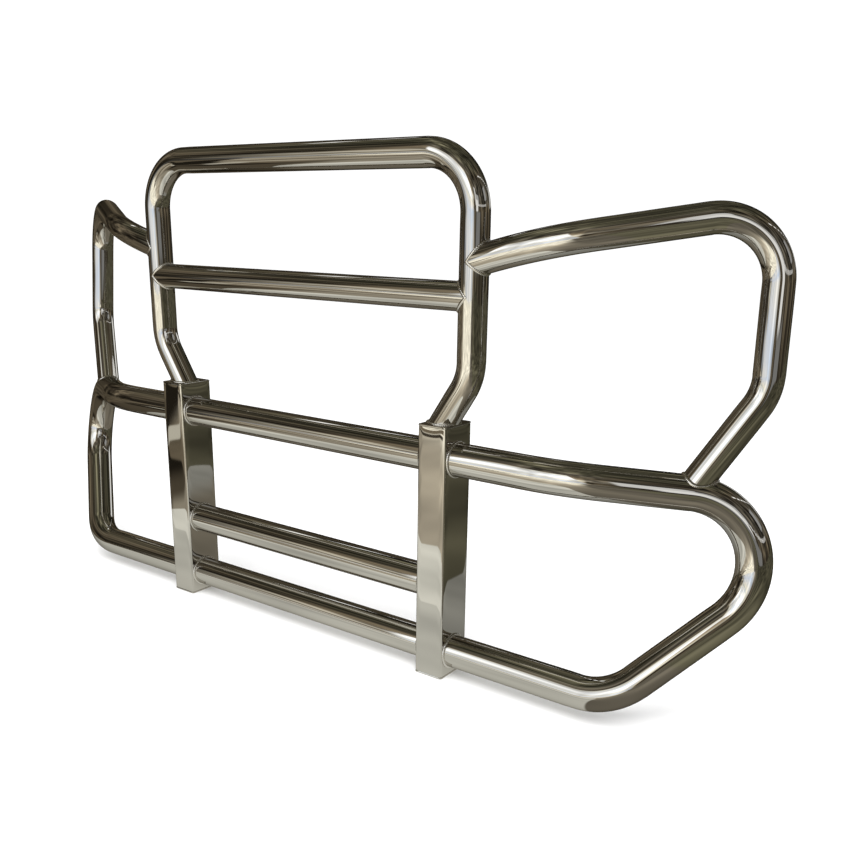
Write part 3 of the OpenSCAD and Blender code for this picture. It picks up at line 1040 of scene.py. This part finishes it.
RIGHT_SIDE = [
    (-90, 60, "olive"), (-10, 44, "olive"), (0, 40, "brown"), (6, 60, "brown"), (12, 84, "tan"),
    (30, 64, "tan"), (45, 54, "brown"), (60, 62, "olive"), (90, 72, "olive"),
]
BACK_SIDE = [
    (-90, 60, "olive"), (-12, 46, "olive"), (0, 36, "brown"), (20, 42, "olive"), (45, 46, "olive"),
    (90, 62, "olive"),
]
# What is laid over the back: west and east edges, how soft they are, and the levels
HALL_SIDES = [
    (36, 152, 6, RIGHT_SIDE), (-150, -50, 8, LEFT_SIDE), (-49, 24, 3, LEFT_JAMB), (22, 37, 2, RIGHT_JAMB),
]
# Beams that run across the hall, then racks that stand upright: scale, stretch and strength
BEAMS = (5.0, (0.3, 1.3, 1.3), 3.0)
RACKS = (4.2, (1.3, 1.3, 0.3), 2.0)

# The doorway's edges, and how many degrees each side leans over for each degree up
DOOR_LEFT, DOOR_LEFT_LEAN = -33.2, -0.15
DOOR_RIGHT, DOOR_RIGHT_LEAN = 22.5, -0.4
DOOR_HEAD = 35.0
DOOR_SOFT = 1.0
HAZE = (0.48, 0.7)
HAZE_SHARES = (0.66, 0.75, 0.86)
YARD = (4.0, (1, 1, 0.4), 0.9)

# West, east, low and high edges of the smaller openings, with their levels
OPENINGS = [
    (35.0, 42.5, 9.0, 27.0, 195), (42.0, 60.0, 9.0, 21.0, 158), (38.0, 53.0, 3.2, 15.0, 216),
    (40.0, 68.0, -2.0, 3.0, 112), (110.0, 129.0, 15.0, 30.0, 140),
]
OPENING_SOFT = 0.8
BACK_WINDOW_AZIMUTH, BACK_WINDOW_HALF, BACK_WINDOW_FADE = 178.0, 17.0, 0.97
BACK_WINDOW = (4.0, 15.0)
# A row of small lights along the right-hand wall: its edges, their pitch and the lit share of it
WALL_LIGHTS = (54.0, 118.0, 8.6, 11.2)
WALL_LIGHT_PITCH, WALL_LIGHT_SHARE = 5.5, 0.4

# Two rows of lamps hang along Y behind the guard; sizes are per metre of the roof's height
LAMP_ROW_AT, LAMP_ROW_WIDTH = 0.95, 0.04
LAMP_PITCH, LAMP_SHARE = 0.36, 0.62
LAMPS_FROM = 0.3


def walls(s, way, azimuth, elevation):
    colour = s.ramp(elevation, BACK_SIDE)
    for west, east, soft, stops in HALL_SIDES:
        colour = s.mix(s.between(azimuth, west, east, soft), colour, s.ramp(elevation, stops))
    colour = s.uneven(colour, way, *BEAMS)
    return s.uneven(colour, way, *RACKS)


def doorway(s, colour, way, azimuth, elevation):
    """The colour with the doorway laid over it: a bright yard, with haze in places."""
    from_left = s.math("MULTIPLY_ADD", elevation, -DOOR_LEFT_LEAN, azimuth)
    from_right = s.math("MULTIPLY_ADD", elevation, -DOOR_RIGHT_LEAN, azimuth)
    door = s.all_of(
        s.rise(from_left, DOOR_LEFT - DOOR_SOFT, DOOR_LEFT + DOOR_SOFT),
        s.rise(from_right, DOOR_RIGHT + DOOR_SOFT, DOOR_RIGHT - DOOR_SOFT),
        s.rise(elevation, DOOR_HEAD + DOOR_SOFT, DOOR_HEAD - DOOR_SOFT),
    )
    haze = s.rise(s.noise(way, 4.0, (1, 1, 5), 4.0), *HAZE)
    yard = s.mix(haze, s.ramp(elevation, DOORWAY), HAZE_SHARES, "MULTIPLY")
    return s.mix(door, colour, s.uneven(yard, way, *YARD))


def windows(s, colour, way, azimuth, elevation):
    """The colour with the smaller openings, the wall lights and the back window laid over it."""
    for west, east, low, high, level in OPENINGS:
        across = s.between(azimuth, west, east, OPENING_SOFT)
        opening = s.all_of(across, s.between(elevation, low, high, OPENING_SOFT))
        colour = s.patch(colour, opening, level, "white")
    west, east, low, high = WALL_LIGHTS
    half_light = WALL_LIGHT_PITCH / 2 * WALL_LIGHT_SHARE
    wall_lights = s.all_of(
        s.rise(s.math("PINGPONG", azimuth, WALL_LIGHT_PITCH / 2), half_light, half_light * 0.8),
        s.between(azimuth, west, east, 1.0),
        s.between(elevation, low, high, 0.3),
    )
    colour = s.patch(colour, wall_lights, 250, "white")
    window_edge = math.cos(math.radians(BACK_WINDOW_HALF))
    back_window = s.all_of(
        s.rise(s.dot(way, BACK_WINDOW_AZIMUTH), window_edge, BACK_WINDOW_FADE),
        s.between(elevation, *BACK_WINDOW, OPENING_SOFT),
    )
    return s.patch(colour, back_window, 225, "white")


def roof_lamps(s, colour, x, y, z):
    overhead = s.math("MAXIMUM", z, 0.001)
    from_middle = s.math("ABSOLUTE", s.math("DIVIDE", x, overhead))
    from_row = s.math("ABSOLUTE", s.math("SUBTRACT", from_middle, LAMP_ROW_AT))
    along = s.math("DIVIDE", y, overhead)
    half_lamp = LAMP_PITCH / 2 * LAMP_SHARE
    lamps = s.all_of(
        s.rise(from_row, LAMP_ROW_WIDTH, LAMP_ROW_WIDTH * 0.5),
        s.rise(s.math("PINGPONG", along, LAMP_PITCH / 2), half_lamp, half_lamp * 0.9),
        s.rise(z, 0.2, 0.3),
        s.rise(along, LAMPS_FROM - 0.05, LAMPS_FROM),
    )
    return s.patch(colour, lamps, 255, "white")


def room():
    """The white backdrop that the camera sees, and the workshop hall that the steel mirrors."""
    world = bpy.data.worlds.new("studio")
    world.use_nodes = True
    bpy.context.scene.world = world
    s = Shading(world.node_tree)
    way, x, y, z = s.coordinates("Generated")
    degrees = 180 / math.pi
    elevation = s.math("MULTIPLY", s.math("ARCSINE", z), degrees)
    azimuth = s.math("MULTIPLY", s.math("ARCTAN2", x, s.math("MULTIPLY", y, -1)), degrees)

    colour = walls(s, way, azimuth, elevation)
    colour = doorway(s, colour, way, azimuth, elevation)
    colour = windows(s, colour, way, azimuth, elevation)
    colour = roof_lamps(s, colour, x, y, z)

    lit = s.nodes.new("ShaderNodeBackground")
    s.links.new(colour, lit.inputs["Color"])
    white = s.nodes.new("ShaderNodeBackground")
    white.inputs["Color"].default_value = (1, 1, 1, 1)
    white.inputs["Strength"].default_value = 1.1
    path = s.nodes.new("ShaderNodeLightPath")
    chooser = s.nodes.new("ShaderNodeMixShader")
    s.links.new(path.outputs["Is Glossy Ray"], chooser.inputs["Fac"])
    s.links.new(white.outputs[0], chooser.inputs[1])
    s.links.new(lit.outputs[0], chooser.inputs[2])
    output = s.nodes.new("ShaderNodeOutputWorld")
    s.links.new(chooser.outputs[0], output.inputs["Surface"])


# ---- The glowing floor that the steel mirrors, with painted light and shade ----
# Places are in metres on the floor, x to the right and y towards the truck. They and the levels were
# adjusted in the same way.

# The pale sheet that the guard stands on: centre, half size, corner radius, softness of its edge,
# and the slant of its front edge on the left
SHEET_MID = (-0.19, 0.0)
SHEET_HALF = (1.01, 0.935)
SHEET_CORNER = 0.28
SHEET_EDGE = 0.01
SHEET_SLANT = -0.2
# A second layer of the sheet starts this far in front of the guard
SECOND_LAYER_Y = -0.51
# Dark bands on the floor beyond the sheet on the left: first y, last y and level
DARK_BANDS = ((-2.72, -2.5, 48), (-3.5, -2.84, 96))
REFLECTION_FLOOR_HALF, REFLECTION_FLOOR_Z = 12.0, -0.003


def dark_left_patches(s, x, y):
    """Where the floor is dark on the left, beside the sheet, and that colour."""
    where = s.all_of(s.rise(x, -1.1, -1.3), s.rise(x, -2.3, -1.9), s.rise(y, -1.19, -1.13))
    colour = s.mix(s.rise(x, -1.62, -1.36), shade(24, "brown"), shade(60, "brown"))
    paler = s.all_of(s.rise(y, -0.95, -0.7), s.rise(y, 0.1, -0.1))
    return where, s.patch(colour, paler, 66, "brown")


def concrete(s, place, x, y):
    """Bare concrete: olive on the right and behind, tan in the aisle and brown on the left."""
    across = s.math("MULTIPLY_ADD", y, 0.6, x)
    colour = s.mix(s.rise(across, 2.0, 3.2), shade(82, "olive"), shade(58, "olive"))
    aisle = s.all_of(s.rise(across, 1.14, 1.08), s.rise(y, 0.4, 0.0), s.rise(x, -1.0, 0.8))
    colour = s.patch(colour, aisle, 84, "tan")
    behind = s.all_of(s.rise(y, 0.1, 0.5), s.rise(x, -2.0, 0.0))
    colour = s.patch(colour, behind, 68, "olive")
    colour = s.patch(colour, s.rise(x, -1.1, -1.3), 80, "brown")
    return s.uneven(colour, place, 1.1, (1, 1, 1), 1.6)


def gleam(s, place, x, y, from_left):
    """Concrete lit from the doorway, brighter the nearer to it."""
    # Painted light: the concrete is brighter nearer the doorway and darker to the left
    colour = s.mix(s.rise(y, -1.1, -1.8), shade(146, "tan"), shade(176, "tan"))
    colour = s.patch(colour, s.rise(x, -0.6, -1.2), 122, "tan")
    colour = s.patch(colour, s.rise(x, -1.25, -1.45), 84, "brown")
    colour = s.patch(colour, s.rise(y, -1.8, -2.7), 232, "sand")
    far_right = s.all_of(s.rise(y, -1.5, -2.0), s.rise(from_left, 1.9, 0.9))
    colour = s.patch(colour, far_right, 146, "tan")
    colour = s.uneven(colour, place, 1.3, (1.6, 0.5, 1), 0.9)
    colour = s.uneven(colour, place, 1.3, (0.5, 1.6, 1), 0.4)
    for first, last, level in DARK_BANDS:
        dark_band = s.all_of(s.rise(x, -0.7, -0.9), s.between(y, first, last, 0.02))
        colour = s.patch(colour, dark_band, level, "brown")
    return colour


def sheet(s, place, x, y):
    """The pale sheet: lit in front of the guard, in its shade behind it."""
    # Painted shadow of the guard on the sheet behind it, and painted light on the sheet in front of it
    shaded = s.mix(s.rise(x, 0.3, 0.6), shade(98, "tan"), shade(126, "stone"))
    colour = s.mix(s.rise(y, 0.12, -0.2), shaded, shade(172, "stone"))
    second_layer = s.rise(y, SECOND_LAYER_Y + 0.004, SECOND_LAYER_Y - 0.004)
    colour = s.patch(colour, second_layer, 196, "stone")
    return s.uneven(colour, place, 2.6, (0.5, 1.5, 1), 0.6)


def sheet_distance(s, x, y):
    """How far a place on the floor is outside the sheet's edge, in metres."""
    slanted = s.math("MULTIPLY_ADD", s.math("MINIMUM", x, 0.0), -SHEET_SLANT, y)
    over = []
    for axis, mid, half in ((x, SHEET_MID[0], SHEET_HALF[0]), (slanted, SHEET_MID[1], SHEET_HALF[1])):
        offset = s.math("ABSOLUTE", s.math("SUBTRACT", axis, mid))
        over.append(s.math("MAXIMUM", s.math("SUBTRACT", offset, half - SHEET_CORNER), 0))
    squares = s.math("ADD", s.math("POWER", over[0], 2), s.math("POWER", over[1], 2))
    return s.math("SUBTRACT", s.math("SQRT", squares), SHEET_CORNER)


def floor_colour(s):
    place, x, y, _ = s.coordinates("Object")
    from_left = s.math("SUBTRACT", x, y)
    from_right = s.math("MULTIPLY_ADD", y, 0.36, x)
    in_dark_patches, dark_patch_colour = dark_left_patches(s, x, y)
    colour = s.mix(in_dark_patches, concrete(s, place, x, y), dark_patch_colour)
    # A near-black patch further out on the left
    far_dark_patch = s.all_of(s.between(from_left, -1.1, -0.62, 0.04), s.rise(x, -2.28, -2.34))
    colour = s.patch(colour, far_dark_patch, 26, "brown")
    # Where the painted pool of light from the doorway lies
    lit = s.all_of(
        s.rise(y, -0.3, -0.8), s.rise(from_left, -0.75, -0.62), s.rise(from_right, 1.05, 0.45),
        s.math("SUBTRACT", 1.0, in_dark_patches),
    )
    colour = s.mix(lit, colour, gleam(s, place, x, y, from_left))
    pale_patch = s.all_of(s.between(x, -2.3, -2.02, 0.02), s.between(from_left, -0.85, -0.5, 0.05))
    colour = s.patch(colour, pale_patch, 172, "sand")
    return s.mix(s.rise(sheet_distance(s, x, y), SHEET_EDGE, 0.0), colour, sheet(s, place, x, y))


def painted_reflection_floor():
    """A glowing floor that only the steel mirrors, a painted reflection: dark concrete, a painted pool
    of light from the doorway, and a pale sheet with painted shade behind the guard."""
    material = bpy.data.materials.new("painted_reflection_floor")
    material.use_nodes = True
    s = Shading(material.node_tree)
    # The floor glows with its own colour and is no lamp: its light and shade are painted
    glow = s.nodes.new("ShaderNodeEmission")
    s.links.new(floor_colour(s), glow.inputs["Color"])
    output = s.nodes.new("ShaderNodeOutputMaterial")
    s.links.new(glow.outputs[0], output.inputs["Surface"])
    floor = floor_quad("painted_reflection_floor", REFLECTION_FLOOR_HALF, REFLECTION_FLOOR_Z)
    floor.data.materials.append(material)
    for ray in ("camera", "diffuse", "transmission", "volume_scatter", "shadow"):
        setattr(floor, "visible_" + ray, False)


# ---- Camera ----
# Solved by least squares, with the guard's dimensions, on points of the photo's outline

CAMERA_PLACE = (1.5772, -1.7369, 1.0066)
CAMERA_AZIMUTH = math.radians(34.32)
CAMERA_DROP = math.radians(16.21)
CAMERA_ROLL = math.radians(-1.37)
CAMERA_LENS = 38.79
CAMERA_SHIFT = (-0.0329, 0.0859)


def add_camera():
    data = bpy.data.cameras.new("camera")
    data.sensor_width = 36.0
    data.lens = CAMERA_LENS
    data.shift_x, data.shift_y = CAMERA_SHIFT
    camera = place_object("camera", data)
    ahead = Vector((
        -math.sin(CAMERA_AZIMUTH) * math.cos(CAMERA_DROP),
        math.cos(CAMERA_AZIMUTH) * math.cos(CAMERA_DROP),
        -math.sin(CAMERA_DROP),
    ))
    right = Vector((math.cos(CAMERA_AZIMUTH), math.sin(CAMERA_AZIMUTH), 0))
    up = right.cross(ahead)
    turn = Matrix((right, up, -ahead)).transposed() @ Matrix.Rotation(CAMERA_ROLL, 3, "Z").inverted()
    camera.matrix_world = Matrix.Translation(CAMERA_PLACE) @ turn.to_4x4()
    bpy.context.scene.camera = camera


pale_floor()
soft_light("key", (1.5, -2.5, 4.5), (0, 0, 0.4), 4.0, 200)
room()
painted_reflection_floor()
add_camera()
bpy.context.scene.view_settings.view_transform = "Standard"
